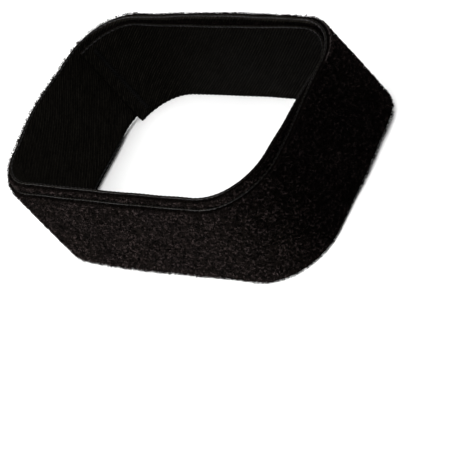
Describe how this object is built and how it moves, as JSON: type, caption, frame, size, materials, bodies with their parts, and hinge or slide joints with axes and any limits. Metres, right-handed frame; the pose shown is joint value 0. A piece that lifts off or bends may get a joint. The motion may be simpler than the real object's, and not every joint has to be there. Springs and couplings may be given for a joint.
{
  "type": "flash snoot strap",
  "caption": "Short snoot for a camera flash: a black hook-and-loop strap wound into a rounded rectangular hood, with a peelable closing tab.",
  "frame": {"origin": "centre of the bounding box, on the surface that the rear rim stands on", "axes": "+Z out of the front rim, the way the light leaves; +X along the long walls; +Y towards the far long wall"},
  "size_m": [0.0846, 0.055, 0.0306],
  "materials": {
    "loop_fabric": "brushed loop pile",
    "grip_lining": "fine ribbed weave",
    "sewing_thread": "twisted polyester thread",
    "hook_tape": "moulded hooks"
  },
  "bodies": {
    "band": {"band_front_edge_stitching": "sewing_thread", "band_grip_lining": "grip_lining", "band_loop_face": "loop_fabric", "band_rear_edge_stitching": "sewing_thread", "inner_end_bar_tack": "sewing_thread"},
    "side_flap": {"side_flap_front_edge_stitching": "sewing_thread", "side_flap_grip_lining": "grip_lining", "side_flap_loop_face": "loop_fabric", "side_flap_rear_edge_stitching": "sewing_thread"},
    "near_flap": {"near_flap_front_edge_stitching": "sewing_thread", "near_flap_grip_lining": "grip_lining", "near_flap_loop_face": "loop_fabric", "near_flap_rear_edge_stitching": "sewing_thread"},
    "closing_tab": {"closing_tab_front_edge_stitching": "sewing_thread", "closing_tab_grip_lining": "grip_lining", "closing_tab_loop_face": "loop_fabric", "closing_tab_rear_edge_stitching": "sewing_thread", "hook_patch": "hook_tape", "hook_patch_box_stitch": "sewing_thread"},
    "finger_pull": {"finger_pull_bar_tack": "sewing_thread", "finger_pull_front_edge_stitching": "sewing_thread", "finger_pull_grip_lining": "grip_lining", "finger_pull_loop_face": "loop_fabric", "finger_pull_rear_edge_stitching": "sewing_thread"}
  },
  "joints": [
    {"name": "side_flap_peel", "type": "hinge", "parent": "band", "child": "side_flap", "pos_m": [0.03908, 0.02435, 0], "axis": [0, 0, 1], "range_deg": [0, 18]},
    {"name": "near_flap_peel", "type": "hinge", "parent": "side_flap", "child": "near_flap", "pos_m": [0.03723, -0.02251, 0], "axis": [0, 0, 1], "range_deg": [0, 90]},
    {"name": "closing_tab_peel", "type": "hinge", "parent": "near_flap", "child": "closing_tab", "pos_m": [-0.03733, -0.02406, 0], "axis": [0, 0, 1], "range_deg": [0, 90]},
    {"name": "finger_pull_lift", "type": "hinge", "parent": "closing_tab", "child": "finger_pull", "pos_m": [-0.04166, 0.00008, 0], "axis": [0, 0, 1], "range_deg": [0, 60]}
  ],
  "couplings": [
    {"joint": "side_flap_peel", "follows": "near_flap_peel", "ratio": 0.2}
  ]
}
